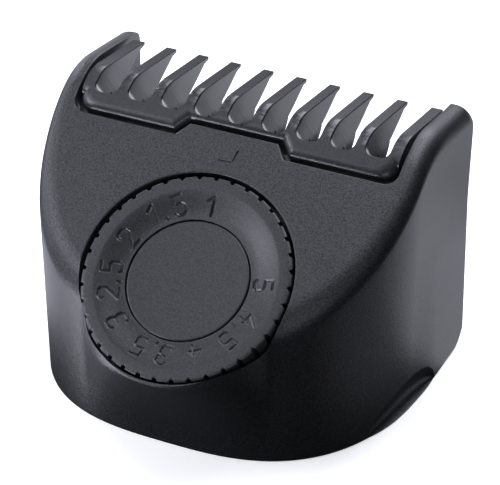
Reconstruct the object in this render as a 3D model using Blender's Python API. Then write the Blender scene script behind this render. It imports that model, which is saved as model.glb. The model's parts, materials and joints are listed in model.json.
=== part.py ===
"""Adjustable beard comb attachment for a hair trimmer.

A moulded housing slips over the trimmer head. A numbered wheel on its slanted face turns a spiral
groove, and a pin in that groove pushes the comb along the face, so the comb stands further out.

Metres, +Z up. The object stands on its rim, with the origin at the middle of its footprint.
"""

import math

import bmesh
import bpy
from mathutils import Matrix, Vector

MM = 0.001
GAP = 0.3 * MM  # between pieces that touch

# Housing. Its plan is a superellipse at the front and straight behind its middle.
FACE_TILT = math.radians(38)
RIM_DROP = 19.1 * MM  # from the wheel's centre on the face down to the rim
HALF_WIDTH = 21.0 * MM  # at the rim
FRONT_DEPTH = 17.5 * MM  # from the plan's widest line to the front wall
WIDEST_Y = 13.6 * MM  # behind the wheel's centre
REAR_Y = 28.7 * MM
PLAN_POWER_X = 2.9
PLAN_POWER_Y = 1.9
DRAFT = 0.022  # how much the walls lean out for each unit of height
WALL = 1.6 * MM
OPENING_HALF = 19.15 * MM  # half of the space between the side walls
HORN_TOP = (20.8 * MM, 12.4 * MM)  # a point on the top line of the side walls
HORN_SLOPE = math.radians(8)
HORN_RADIUS = 8 * MM
REAR_TOP_RADIUS = 3 * MM
REAR_FOOT_RADIUS = 4 * MM
REAR_STEPS = 6
FRONT_STEPS = 34
WALL_STEPS = 5
CREASE_STEPS = 4
BRIDGE_HEIGHT = 9 * MM  # of the wall that closes the back above the rim
CREASE_RADIUS = 2 * MM  # between the walls and the top
GRIP_HALF = 6.6 * MM  # the finger grips are half-moons on the foot of the side walls
GRIP_HEIGHT = 3.9 * MM
GRIP_Y = 13 * MM
GRIP_PROUD = 0.35 * MM
GRIP_SCOOP = 0.4 * MM
GRIP_LEVELS = (0, 0.6 * MM, 1.3 * MM, 2.1 * MM, 3 * MM, 4.2 * MM)  # heights above the foot
NOSE_Y = 5.3 * MM  # the front swells round the foot of the wheel in a nose of this plan
NOSE_DEPTH = 14.8 * MM
NOSE_HALF = 12.15 * MM
NOSE_POWER = 2.2
NOSE_FOOT = -7.6 * MM  # below this height the nose falls back to the rim
NOSE_FALL = 1.6
NOSE_CREASE = 0.25 * MM  # the crease is this tight where the nose stands out fully
NOSE_FULL = 1.5 * MM
NOSE_BLEND = 0.35 * MM

# Wheel and what turns with it. Depths run down from the face.
DIAL_X = 0.7 * MM
DIAL_RADIUS = 11.6 * MM
DIAL_DEPTH = 2.75 * MM
RIM_BAND = 1.4 * MM  # flat band round the dished number ring
DISH_DEPTH = 0.75 * MM
CAP_RADIUS = 6.75 * MM
CAP_THICKNESS = 0.75 * MM
CAP_DISH = 0.15 * MM
NOTCHES = 38
NOTCH_DEPTH = 0.35 * MM
RIM_EDGE = 0.3 * MM
CAP_SEAT = 0.15 * MM  # clearance round and under the cap
HUB_RADIUS = 2.6 * MM
HUB_END = 7.6 * MM
POCKET_RADIUS = 12.05 * MM
POCKET_DEPTH = 3.0 * MM
FLOOR_THICKNESS = 1.2 * MM
SETTINGS = 9
STEP_ANGLE = math.radians(35)
TRAVEL = 4 * MM
CAM_START = 6.4 * MM  # the follower's distance from the wheel's axis at the first setting
CAM_DEPTH = 0.75 * MM
PIN_RADIUS = 0.6 * MM
DETENT_RADIUS = 6.5 * MM
DETENT_NOTCH = 0.5 * MM
DETENT_SPREAD = math.radians(6)

# Comb and slider. Distances run up the face from the wheel's centre.
TEETH = 10
PITCH = 4 * MM
RIDGE = 1.25 * MM
OPENING_LOW = 15.3 * MM  # lower edge of the opening at the sides
OPENING_HIGH = 16.9 * MM  # and at its middle
STEP_LOW_X = 6.43 * MM
STEP_HIGH_X = 5.17 * MM
CORNER_RADIUS = 1.6 * MM
COMB_CLEARANCE = 0.45 * MM
SLOT_ROOT = 18.0 * MM
SLOT_ROOT_RADIUS = 0.9 * MM
COMB_BASE = 4.2 * MM  # depth of the comb's base below the face
COMB_PROUD = 0.12 * MM
SLIDER_TOP = 4.5 * MM
SLIDER_THICKNESS = 1.2 * MM
SLIDER_HALF = 8.5 * MM
SLIDER_LOW = -5 * MM
SLIDER_ARM_HALF = 17 * MM  # the arms carry the comb
SLIDER_ARM_V = 14.6 * MM
HUB_GAP = 0.4 * MM  # round the hub in the slider's fork and the chassis plate
CHASSIS_TOP = 6.0 * MM
CHASSIS_THICKNESS = 1.0 * MM
CHASSIS_OUTLINE = ((11.8 * MM, -4.2 * MM), (15.4 * MM, 2 * MM), (15.4 * MM, 12 * MM))  # right half
RAIL_WIDTH = 1.2 * MM
RAIL_ENDS = (1 * MM, 11 * MM)

# Fasteners
SCREW_RADIUS = 0.8 * MM
SCREW_CLEAR = 1.05 * MM
HEAD_RADIUS = 1.6 * MM
HEAD_HEIGHT = 0.9 * MM
BOSS_RADIUS = 2.1 * MM
CHASSIS_SCREWS = (
    (-13.2 * MM, 9.5 * MM),
    (13.2 * MM, 9.5 * MM),
    (-10.8 * MM, -2.2 * MM),
    (10.8 * MM, -2.2 * MM),
)
CHASSIS_SCREW_END = -3.0 * MM
COMB_SCREWS = (-14 * MM, 14 * MM)
COMB_SCREW_V = 16.9 * MM
COMB_SCREW_END = -2 * MM
COMB_SCREW_HOLE = -1.7 * MM

# Bush, detent wheel, rivet and latch clips
BUSH_INNER = 2.85 * MM
BUSH_OUTER = 3.7 * MM
WHEEL_TOP = -7.8 * MM
WHEEL_THICKNESS = 1.0 * MM
RIVET = (-8.6 * MM, 7.6 * MM)
RIVET_RADIUS = 0.75 * MM
RIVET_HEAD = 1.5 * MM
RIVET_DOME = 0.5 * MM
SPRING_LEAF = 0.35 * MM
SPRING_NOSE = 0.95 * MM  # from the leaf to the tip of its nose
SPRING_NOSE_HALF = 0.8 * MM
SPRING_STANDOFF = 0.12 * MM
SPRING_END = -3 * MM
SPRING_EYE = 1.8 * MM
WASHER_RADIUS = 4.6 * MM
WASHER_GAP = 0.2 * MM
PEG_RADIUS = 1.2 * MM
PEG_END = 17.3 * MM  # how far from the middle the pegs for the clips end
PEG_Y = 18 * MM
PEG_Z = -7.4 * MM
CLIP_THICKNESS = 0.9 * MM
CLIP_NUB = 0.9 * MM
CLIP_WIDTH = 8 * MM
CLIP_ENDS = (-10 * MM, 2.4 * MM)  # heights from the peg, as are the nub's
CLIP_NUB_HEIGHTS = (-8.2 * MM, -6.9 * MM, -5.2 * MM)

# The comb's side view behind the wheel's centre, as (y, z)
RIDGE_DROP = 0.42 * MM  # the ridges lie this far under the horns' top line
RIDGE_RADIUS = 4.2 * MM
TIP_Y = 26.5 * MM
FIN_HEEL = (22.9 * MM, 9.4 * MM)
FIN_BEND = (21.4 * MM, 8.75 * MM)
FIN_FOOT = (18.6 * MM, 8.45 * MM)
TIP_CUT = (-0.1 * MM, -0.4 * MM)

TOP_HEIGHT = 40 * MM  # how high cutters and blanks reach above the rim
REACH = 5 * MM  # how far a cutter reaches past what it cuts

FRONT_Y = NOSE_Y - NOSE_DEPTH
ORIGIN = Vector((0, -(FRONT_Y + REAR_Y) / 2, RIM_DROP))
FACE = Matrix.Translation(ORIGIN) @ Matrix.Rotation(FACE_TILT, 4, "X")
DIAL = FACE @ Matrix.Translation((DIAL_X, 0, 0))
STAND = Matrix.Translation(ORIGIN)  # upright, with its origin at the wheel's height
SIDE = STAND @ Matrix(((0, 0, 1, 0), (1, 0, 0, 0), (0, 1, 0, 0), (0, 0, 0, 1)))  # X back, Y up, Z right


def clear_scene():
    for obj in list(bpy.data.objects):
        bpy.data.objects.remove(obj, do_unlink=True)


def plastic(name, colour, roughness, metallic=0.0):
    material = bpy.data.materials.new(name)
    material.use_nodes = True
    shader = material.node_tree.nodes["Principled BSDF"]
    shader.inputs["Base Color"].default_value = (*colour, 1)
    shader.inputs["Roughness"].default_value = roughness
    shader.inputs["Metallic"].default_value = metallic
    return material


def finish(name, mesh, frame, material, smooth=35):
    """An object of the mesh in this frame, smooth except over edges sharper than the angle."""
    mesh.shade_smooth()
    mesh.set_sharp_from_angle(angle=math.radians(smooth))
    obj = bpy.data.objects.new(name, mesh)
    bpy.context.collection.objects.link(obj)
    obj.matrix_world = frame
    if material:
        mesh.materials.append(material)
    return obj


def mesh_of(name, points, faces):
    shape = bmesh.new()
    corners = [shape.verts.new(point) for point in points]
    for face in faces:
        shape.faces.new([corners[i] for i in face])
    bmesh.ops.recalc_face_normals(shape, faces=shape.faces)
    mesh = bpy.data.meshes.new(name)
    shape.to_mesh(mesh)
    shape.free()
    return mesh


def loft(name, low, high):
    """A closed solid between two outlines with as many points each."""
    count = len(low)
    sides = [(i, (i + 1) % count, (i + 1) % count + count, i + count) for i in range(count)]
    ends = [tuple(range(count))[::-1], tuple(range(count, 2 * count))]
    return mesh_of(name, [*low, *high], sides + ends)


def prism(name, outline, bottom, top):
    return loft(name, [(*p, bottom) for p in outline], [(*p, top) for p in outline])


def revolve(name, profile, steps, radius_at=None):
    """Turns a closed profile of (radius, height) about Z, with each radius as radius_at gives it."""
    points, rings = [], []
    for radius, height in profile:
        ring = []
        for i in range(steps if radius else 1):
            angle = math.tau * i / steps
            r = radius_at(radius, angle) if radius_at else radius
            ring.append(len(points))
            points.append((r * math.cos(angle), r * math.sin(angle), height))
        rings.append(ring)
    faces = []
    pairs = zip(rings, rings[1:] + rings[:1])
    for a, b in pairs:
        for i in range(steps):
            j = (i + 1) % steps
            if len(a) > 1 and len(b) > 1:
                faces.append((a[i], a[j], b[j], b[i]))
            elif len(a) > 1:
                faces.append((a[i], a[j], b[0]))
            elif len(b) > 1:
                faces.append((a[0], b[j], b[i]))
    return mesh_of(name, points, faces)


def disc(name, radius, bottom, top, steps=32, centre=(0, 0)):
    return prism(name, circle(radius, steps, centre), bottom, top)


def circle(radius, steps=32, centre=(0, 0)):
    angles = [math.tau * i / steps for i in range(steps)]
    return [(centre[0] + radius * math.cos(a), centre[1] + radius * math.sin(a)) for a in angles]


def rectangle(x0, x1, y0, y1):
    return [(x0, y0), (x1, y0), (x1, y1), (x0, y1)]


def arc(centre, radius, start, end, steps):
    """Points from one angle to the other, in degrees."""
    angles = [math.radians(start + (end - start) * i / steps) for i in range(steps + 1)]
    return [(centre[0] + radius * math.cos(a), centre[1] + radius * math.sin(a)) for a in angles]


def fillet(before, corner, after, radius, steps=6):
    """An arc that rounds the corner between two straight runs."""
    corner = Vector(corner)
    to_before = (Vector(before) - corner).normalized()
    to_after = (Vector(after) - corner).normalized()
    half = to_before.angle(to_after) / 2
    centre = corner + (to_before + to_after).normalized() * (radius / math.sin(half))
    start = corner + to_before * (radius / math.tan(half)) - centre
    end = corner + to_after * (radius / math.tan(half)) - centre
    turn = start.angle_signed(end)
    return [centre + Matrix.Rotation(-turn * i / steps, 2) @ start for i in range(steps + 1)]


def combine(obj, mesh, frame, operation="DIFFERENCE"):
    """Cuts the mesh from the object, or joins it. Returns the hidden helper."""
    helper = finish(f"{obj.name}_{mesh.name}", mesh, frame, None)
    helper.hide_render = True
    helper.display_type = "WIRE"
    modifier = obj.modifiers.new(mesh.name, "BOOLEAN")
    modifier.operation = operation
    modifier.solver = "EXACT"
    modifier.object = helper
    return helper


def plan_levels(steps):
    """Plan points (x, y, normal x, normal y) of the right half at the rim, from the front to the rear."""
    points = []
    for i in range(steps + 1):
        turn = math.pi / 2 * (1 - i / steps)
        c, s = max(math.cos(turn), 0), math.sin(turn)
        x, y = c ** (2 / PLAN_POWER_X), s ** (2 / PLAN_POWER_Y)
        nx = 0 if i == 0 else x ** (PLAN_POWER_X - 1) / HALF_WIDTH
        ny = -(y ** (PLAN_POWER_Y - 1)) / FRONT_DEPTH
        size = math.hypot(nx, ny)
        points.append((HALF_WIDTH * x, WIDEST_Y - FRONT_DEPTH * y, nx / size, ny / size))
    side = [WIDEST_Y + 1.5 * MM * i for i in range(1, 7)]
    for i in range(REAR_STEPS + 1):
        side.append(REAR_Y - REAR_FOOT_RADIUS * (1 - math.sin(math.pi / 2 * i / REAR_STEPS)))
    return points + [(HALF_WIDTH, y, 1, 0) for y in side]


def top_height(y):
    """Height of the face, the rounded shoulder, the horns' top line and their round rear end."""
    y = min(y, REAR_Y)
    slope, fall = math.tan(FACE_TILT), math.tan(HORN_SLOPE)
    ridge = horn_line(0) / (slope + fall)
    half = (FACE_TILT + HORN_SLOPE) / 2
    reach = HORN_RADIUS * math.tan(half)
    first, last = ridge - reach * math.cos(FACE_TILT), ridge + reach * math.cos(HORN_SLOPE)
    if y <= first:
        return y * slope
    if y < last:
        centre_y = first + HORN_RADIUS * math.sin(FACE_TILT)
        centre_z = first * slope - HORN_RADIUS * math.cos(FACE_TILT)
        return centre_z + math.sqrt(HORN_RADIUS ** 2 - (y - centre_y) ** 2)
    into = max(0, y - (REAR_Y - REAR_TOP_RADIUS)) / REAR_TOP_RADIUS
    return horn_line(y) - REAR_TOP_RADIUS * (1 - math.sqrt(max(0, 1 - into * into)))


def foot_height(y):
    into = max(0, y - (REAR_Y - REAR_FOOT_RADIUS)) / REAR_FOOT_RADIUS
    return REAR_FOOT_RADIUS * (1 - math.sqrt(max(0, 1 - into * into))) - RIM_DROP


def grip(y, height):
    """How far the wall stands out at a finger grip: a scoop above, a lip at the rim."""
    u = (y - GRIP_Y) / GRIP_HALF
    if abs(u) >= 1:
        return 0
    edge = math.sqrt(1 - u * u)
    w = height / (GRIP_HEIGHT * edge)
    if w >= 1:
        return 0
    return edge * (GRIP_PROUD * (1 - w) ** 1.5 - GRIP_SCOOP * math.sin(math.pi * w))


def nose(x, y, height):
    """How far the front wall at this point stands out to the nose under the wheel."""
    across = abs((x - DIAL_X) / NOSE_HALF)
    if across >= 1 or y > WIDEST_Y:
        return 0
    out = y - NOSE_Y + NOSE_DEPTH * (1 - across ** NOSE_POWER) ** (1 / NOSE_POWER)
    if out < 10 * NOSE_BLEND:
        out = NOSE_BLEND * math.log1p(math.exp(out / NOSE_BLEND))
    down = min(max((NOSE_FOOT - height) / (RIM_DROP + NOSE_FOOT), 0), 1)
    return out * (1 - down) ** NOSE_FALL


def housing_row(side, x, y, nx, ny):
    """Points up the wall at one place of the plan, over the crease and onto the top."""
    foot = foot_height(y)

    def place(inset, height):
        out = DRAFT * (height + RIM_DROP) - inset
        px, py = (side * (x + nx * out) if x else 0), y + ny * out
        return px, py - nose(px, py, height)

    swell = min(nose(side * x, y, 0) / NOSE_FULL, 1)
    crease = CREASE_RADIUS + (NOSE_CREASE - CREASE_RADIUS) * swell * swell * (3 - 2 * swell)
    edge_y = place(0, top_height(y))[1]
    top = top_height(place(0, top_height(edge_y))[1]) - crease
    row = []
    for level in GRIP_LEVELS:
        row.append((*place(-grip(y, foot + level + RIM_DROP), foot + level), foot + level))
    start = foot + GRIP_LEVELS[-1]
    for i in range(1, WALL_STEPS + 1):
        height = start + (top - start) * i / WALL_STEPS
        row.append((*place(0, height), height))
    for i in range(1, CREASE_STEPS + 1):
        angle = math.pi / 2 * i / CREASE_STEPS
        px, py = place(crease * (1 - math.cos(angle)), top)
        row.append((px, py, top_height(py) - crease * (1 - math.sin(angle))))
    return row


def housing_blank():
    """The housing as a full solid: walls drawn up the plan, a rounded crease, and the top."""
    plan = plan_levels(FRONT_STEPS)
    rights = [housing_row(1, *place) for place in plan]
    lefts = [housing_row(-1, *place) for place in plan]
    return ladder("housing_shell", rights, lefts)


def ladder(name, right_rows, left_rows):
    """A closed solid from rows that each run up its right or left side, front to rear."""
    points = list(right_rows[0])
    right, left = [range(len(points))], [range(len(points))]
    for rows in zip(right_rows[1:], left_rows[1:]):
        for side, row in zip((right, left), rows):
            side.append(range(len(points), len(points) + len(row)))
            points += row
    faces = []
    for i in range(len(right) - 1):
        for side in (right, left):
            for a, b, c, d in zip(side[i], side[i + 1], side[i + 1][1:], side[i][1:]):
                faces.append((a, b, c, d))
        for k in (0, -1):
            corners = [right[i][k], right[i + 1][k], left[i + 1][k], left[i][k]]
            faces.append(tuple(dict.fromkeys(corners)))
    for a, b, c, d in zip(right[-1], left[-1], left[-1][1:], right[-1][1:]):
        faces.append((a, b, c, d))
    return mesh_of(name, points, faces)


def inner_plan():
    """The space between the walls, straight up from below the rim and out through the back."""
    wide = OPENING_HALF / HALF_WIDTH
    deep = 1 - WALL / FRONT_DEPTH
    half = []
    for x, y, _, _ in plan_levels(FRONT_STEPS):
        if y <= WIDEST_Y:
            half.append((x * wide, WIDEST_Y + (y - WIDEST_Y) * deep))
    half.append((OPENING_HALF, REAR_Y + REACH))
    outline = half + [(-x, y) for x, y in reversed(half[1:])]
    return prism("inside", outline, -RIM_DROP - REACH, TOP_HEIGHT)


def horn_line(y):
    return HORN_TOP[1] - math.tan(HORN_SLOPE) * (y - HORN_TOP[0])


def on_face(v, h):
    """(y, z) of a point up the face by v and proud of it by h."""
    c, s = math.cos(FACE_TILT), math.sin(FACE_TILT)
    return v * c - h * s, v * s + h * c


def shoulder(drop, proud, radius, steps):
    """An arc from a line along the face, proud of it, to the horns' top line less the drop."""
    slope, fall = math.tan(FACE_TILT), math.tan(HORN_SLOPE)
    rise = proud / math.cos(FACE_TILT)
    y = (horn_line(0) - drop - rise) / (slope + fall)
    corner = (y, y * slope + rise)
    return fillet((0, rise), corner, (REAR_Y, horn_line(REAR_Y) - drop), radius, steps)


def opening_edge(clear):
    """Lower edge of the comb's opening as (x, v), from right to left, moved into the opening by clear."""
    half, low, high = OPENING_HALF - clear, OPENING_LOW + clear, OPENING_HIGH + clear
    lean = (STEP_LOW_X - STEP_HIGH_X) / (OPENING_HIGH - OPENING_LOW)
    shift = clear * (math.hypot(1, lean) - lean)
    top = low + 2 * CORNER_RADIUS
    right = fillet((half, top), (half, low), (0, low), CORNER_RADIUS)
    right += [Vector((STEP_LOW_X + shift, low)), Vector((STEP_HIGH_X + shift, high))]
    return [tuple(p) for p in right] + [(-p[0], p[1]) for p in reversed(right)]


def below_opening(clear):
    """All of the face below the comb's opening, out past the side walls."""
    edge = opening_edge(clear)
    return [(-2 * HALF_WIDTH, edge[0][1]), (-2 * HALF_WIDTH, -TOP_HEIGHT),
            (2 * HALF_WIDTH, -TOP_HEIGHT), (2 * HALF_WIDTH, edge[0][1]), *edge]


def housing_cavity():
    """The space inside the housing: all between its walls, less its face plate, floor and bosses."""
    cavity = finish("housing_cavity", inner_plan(), STAND, None)
    cavity.hide_render = True
    cavity.display_type = "WIRE"
    back = rectangle(-2 * HALF_WIDTH, 2 * HALF_WIDTH, REAR_Y - WALL, REAR_Y + 2 * REACH)
    combine(cavity, prism("bridge", back, -RIM_DROP - 2 * REACH, BRIDGE_HEIGHT - RIM_DROP), STAND)
    combine(cavity, prism("plate", below_opening(0), -WALL, TOP_HEIGHT), FACE)
    floor = disc("floor", POCKET_RADIUS + WALL, -POCKET_DEPTH - FLOOR_THICKNESS, -WALL / 2, 72)
    combine(cavity, floor, DIAL)
    for i, centre in enumerate(CHASSIS_SCREWS):
        boss = disc(f"boss_{i + 1}", BOSS_RADIUS, GAP - CHASSIS_TOP, -WALL / 2, 20, centre)
        combine(cavity, boss, FACE)
    for side in (-1, 1):
        peg = disc(f"peg_{side}", PEG_RADIUS, -WALL / 2, OPENING_HALF - PEG_END, 20)
        combine(cavity, peg, clip_frame(side))
    return cavity


def housing_shell(material):
    shell = finish("housing_shell", housing_blank(), STAND, material)
    cut = shell.modifiers.new("cavity", "BOOLEAN")
    cut.solver = "EXACT"
    cut.object = housing_cavity()
    combine(shell, disc("pocket", POCKET_RADIUS, -POCKET_DEPTH, TOP_HEIGHT, 96), DIAL)
    combine(shell, disc("bush_hole", BUSH_OUTER + GAP, -TOP_HEIGHT / 2, 0, 32), DIAL)
    reach = PIN_RADIUS + GAP
    slot = rectangle(-reach, reach, CAM_START - reach, CAM_START + TRAVEL + reach)
    combine(shell, prism("pin_slot", slot, -POCKET_DEPTH - 2 * FLOOR_THICKNESS, -WALL), DIAL)
    for i, centre in enumerate(CHASSIS_SCREWS):
        hole = disc(f"screw_hole_{i + 1}", SCREW_CLEAR, -CHASSIS_TOP, -WALL - MM, 16, centre)
        combine(shell, hole, FACE)
    return shell


def screw(name, frame, centre, head_top, reach, material):
    """A pan-head screw driven up the frame's Z, with a cone drilled in its head for the driver."""
    low = head_top - HEAD_HEIGHT
    profile = [(0, low + 0.6 * HEAD_HEIGHT), (0.45 * HEAD_RADIUS, low), (0.8 * HEAD_RADIUS, low),
               (HEAD_RADIUS, low + 0.4 * HEAD_HEIGHT), (HEAD_RADIUS, head_top), (SCREW_RADIUS, head_top),
               (SCREW_RADIUS, reach - 0.5 * SCREW_RADIUS), (0.5 * SCREW_RADIUS, reach), (0, reach)]
    return finish(name, revolve(name, profile, 16), frame @ Matrix.Translation((*centre, 0)), material)


def chassis_plate(material):
    right = list(CHASSIS_OUTLINE)
    outline = right + [(-x, v) for x, v in reversed(right)]
    bottom = -CHASSIS_TOP - CHASSIS_THICKNESS
    plate = finish("chassis_plate", prism("plate", outline, bottom, -CHASSIS_TOP), FACE, material)
    middle = -CHASSIS_TOP - CHASSIS_THICKNESS / 2
    for side in (-1, 1):
        edges = sorted((side * (SLIDER_HALF + GAP), side * (SLIDER_HALF + GAP + RAIL_WIDTH)))
        rail = rectangle(*edges, *RAIL_ENDS)
        combine(plate, prism(f"rail_{side}", rail, middle, -SLIDER_TOP), FACE, "UNION")
    combine(plate, disc("hub_hole", HUB_RADIUS + HUB_GAP, -TOP_HEIGHT, 0, 32), DIAL)
    for i, centre in enumerate(CHASSIS_SCREWS):
        combine(plate, disc(f"hole_{i + 1}", SCREW_CLEAR, -TOP_HEIGHT, 0, 16, centre), FACE)
    combine(plate, disc("rivet_hole", RIVET_RADIUS + GAP, -TOP_HEIGHT, 0, 16, RIVET), DIAL)
    return plate


def scallop(radius, angle):
    """The wheel's rim: a small round notch at each division."""
    if radius < DIAL_RADIUS - NOTCH_DEPTH:
        return radius
    phase = (angle * NOTCHES / math.tau + 0.5) % 1
    return radius - NOTCH_DEPTH * max(0, 1 - abs(phase - 0.5) * 4)


def spiral_groove():
    """Outline of the groove on the wheel's underside, from the first setting round to the last."""
    turn = (SETTINGS - 1) * STEP_ANGLE
    half = PIN_RADIUS + GAP
    spare = half / CAM_START
    inner, outer = [], []
    steps = 56
    for i in range(steps + 1):
        along = -spare + (turn + 2 * spare) * i / steps
        radius = CAM_START + TRAVEL * min(max(along / turn, 0), 1)
        for line, r in ((inner, radius - half), (outer, radius + half)):
            line.append((r * math.cos(along + math.pi / 2), r * math.sin(along + math.pi / 2)))
    return outer + inner[::-1]


def dial_ring(material):
    """The numbered wheel: notched rim, dished number ring, recess for the cap, and its hub."""
    r, cap = DIAL_RADIUS, CAP_RADIUS + CAP_SEAT
    band = r - RIM_BAND
    web = -DISH_DEPTH - CAP_THICKNESS - CAP_SEAT
    profile = [(0, web), (cap, web), (cap, -DISH_DEPTH)]
    profile += [(cap + (band - cap) * t, -DISH_DEPTH * (1 - t ** 1.6)) for t in (0.35, 0.7, 0.9)]
    profile += [(band + RIM_EDGE / 2, 0), (r - RIM_EDGE, 0), (r, -RIM_EDGE), (r, -DIAL_DEPTH + RIM_EDGE),
                (r - NOTCH_DEPTH - MM / 20, -DIAL_DEPTH), (HUB_RADIUS, -DIAL_DEPTH), (HUB_RADIUS, -HUB_END),
                (SCREW_CLEAR, -HUB_END), (SCREW_CLEAR, -DIAL_DEPTH), (0, -DIAL_DEPTH)]
    ring = finish("dial_ring", revolve("dial_ring", profile, 4 * NOTCHES, scallop), DIAL, material)
    combine(ring, prism("groove", spiral_groove(), -DIAL_DEPTH - MM, CAM_DEPTH - DIAL_DEPTH), DIAL)
    return ring


def dial_cap(material):
    r, top = CAP_RADIUS, -DISH_DEPTH
    dish = [(r * t, top - CAP_DISH * (1 - t * t)) for t in (0, 0.4, 0.7, 0.97)]
    profile = [*dish, (r, top - 0.2 * MM), (r, top - CAP_THICKNESS), (0, top - CAP_THICKNESS)]
    return finish("dial_cap", revolve("dial_cap", profile, 64), DIAL, material)


def tube(name, inner, outer, bottom, top, frame, material, steps=32):
    profile = [(inner, top), (outer, top), (outer, bottom), (inner, bottom)]
    return finish(name, revolve(name, profile, steps), frame, material)


def detent_wheel(material):
    """A wheel under the chassis with one notch for each setting."""

    def notched(radius, angle):
        if radius < DETENT_RADIUS:
            return radius
        near = math.pi
        for i in range(SETTINGS):
            near = min(near, abs((angle - i * STEP_ANGLE) % math.tau - math.pi))
        return radius - DETENT_NOTCH * max(0, 1 - near / DETENT_SPREAD)

    low = WHEEL_TOP - WHEEL_THICKNESS
    profile = [(SCREW_CLEAR, WHEEL_TOP), (DETENT_RADIUS, WHEEL_TOP), (DETENT_RADIUS, low), (SCREW_CLEAR, low)]
    return finish("detent_wheel", revolve("detent_wheel", profile, 144, notched), DIAL, material)


def detent_spring(material):
    """A leaf whose nose stands in a notch of the wheel, with an eye for its rivet."""
    tip = -DETENT_RADIUS - SPRING_STANDOFF
    inner, half = tip - SPRING_NOSE, SPRING_NOSE_HALF
    outer = inner - SPRING_LEAF
    first = math.degrees(math.acos((inner - RIVET[0]) / SPRING_EYE))
    last = math.degrees(math.acos((outer - RIVET[0]) / SPRING_EYE))
    outline = [(outer, SPRING_END), (inner, SPRING_END), (inner, -half), (tip, 0), (inner, half)]
    outline += arc(RIVET, SPRING_EYE, -first, 360 - last, 24)
    leaf = prism("leaf", outline, WHEEL_TOP - WHEEL_THICKNESS, WHEEL_TOP)
    spring = finish("detent_spring", leaf, DIAL, material)
    combine(spring, disc("eye", RIVET_RADIUS + GAP, -TOP_HEIGHT, 0, 16, RIVET), DIAL)
    return spring


def detent_rivet(material):
    bottom, top = WHEEL_TOP - WHEEL_THICKNESS - GAP, -CHASSIS_TOP - GAP / 3
    head, r, dome = RIVET_HEAD, RIVET_RADIUS, RIVET_DOME
    profile = [(0, bottom - dome), (0.6 * head, bottom - 0.9 * dome), (head, bottom),
               (r, bottom), (r, top), (0, top)]
    frame = DIAL @ Matrix.Translation((*RIVET, 0))
    return finish("detent_rivet", revolve("rivet", profile, 20), frame, material)


def comb_profile():
    """The comb's side view as (y, z): base, shoulder, ridge line, tip and the teeth's lower edge."""
    points = [on_face(OPENING_LOW - MM, h) for h in (-COMB_BASE, COMB_PROUD)]
    points += shoulder(RIDGE_DROP, COMB_PROUD, RIDGE_RADIUS, 8)
    tip_z = horn_line(TIP_Y) - RIDGE_DROP
    points += [(TIP_Y, tip_z), (TIP_Y + TIP_CUT[0], tip_z + TIP_CUT[1]), FIN_HEEL, FIN_BEND, FIN_FOOT]
    return points + [on_face(SLOT_ROOT + MM, -COMB_BASE)]


def comb(material):
    half = OPENING_HALF - COMB_CLEARANCE
    body = finish("comb", prism("comb", comb_profile(), -half, half), SIDE, material)
    combine(body, prism("front", below_opening(COMB_CLEARANCE), -TOP_HEIGHT, TOP_HEIGHT), FACE)
    for i in range(TEETH - 1):
        x = (i - TEETH / 2 + 1) * PITCH
        side = (PITCH - RIDGE) / 2
        root = fillet((x - side, TOP_HEIGHT), (x - side, SLOT_ROOT), (x, SLOT_ROOT), SLOT_ROOT_RADIUS, 4)
        left = [tuple(p) for p in root]
        outline = left + [(2 * x - px, py) for px, py in reversed(left)]
        outline += [(x + side, TOP_HEIGHT), (x - side, TOP_HEIGHT)]
        combine(body, prism(f"slot_{i + 1}", outline, -TOP_HEIGHT, TOP_HEIGHT), FACE)
    for i, x in enumerate(COMB_SCREWS):
        hole = disc(f"screw_{i + 1}", SCREW_CLEAR, -TOP_HEIGHT, COMB_SCREW_HOLE, 16, (x, COMB_SCREW_V))
        combine(body, hole, FACE)
    return body


def comb_slider(material):
    """The plate under the face that carries the comb, forked round the wheel's hub."""
    low, half, wide = SLIDER_LOW, SLIDER_HALF, SLIDER_ARM_HALF
    arm, high = SLIDER_ARM_V, SLOT_ROOT - GAP / 3
    fork = HUB_RADIUS + HUB_GAP
    outline = [(-half, low), (DIAL_X - fork, low), *arc((DIAL_X, HUB_GAP), fork, 180, 0, 12)]
    outline += [(DIAL_X + fork, low), (half, low), (half, arm), (wide, arm)]
    outline += [(wide, high), (-wide, high), (-wide, arm), (-half, arm)]
    plate = prism("slider", outline, -SLIDER_TOP - SLIDER_THICKNESS, -SLIDER_TOP)
    slider = finish("comb_slider", plate, FACE, material)
    for i, x in enumerate(COMB_SCREWS):
        combine(slider, disc(f"screw_{i + 1}", SCREW_CLEAR, -TOP_HEIGHT, 0, 16, (x, COMB_SCREW_V)), FACE)
    combine(slider, disc("pin", PIN_RADIUS + GAP, -TOP_HEIGHT, 0, 16, (DIAL_X, CAM_START)), FACE)
    return slider


def follower_pin(material):
    r, edge = PIN_RADIUS, PIN_RADIUS / 4
    low, high = -SLIDER_TOP - SLIDER_THICKNESS + GAP / 3, CAM_DEPTH - DIAL_DEPTH - GAP
    profile = [(0, low), (r, low), (r, high - edge), (r - edge, high), (0, high)]
    frame = DIAL @ Matrix.Translation((0, CAM_START, 0))
    return finish("follower_pin", revolve("pin", profile, 20), frame, material)


def clip_frame(side):
    """At the peg on a side wall, with Z pointing into the housing."""
    at_peg = STAND @ Matrix.Translation((side * OPENING_HALF, PEG_Y, PEG_Z))
    return at_peg @ Matrix.Rotation(-side * math.pi / 2, 4, "Y")


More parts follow.
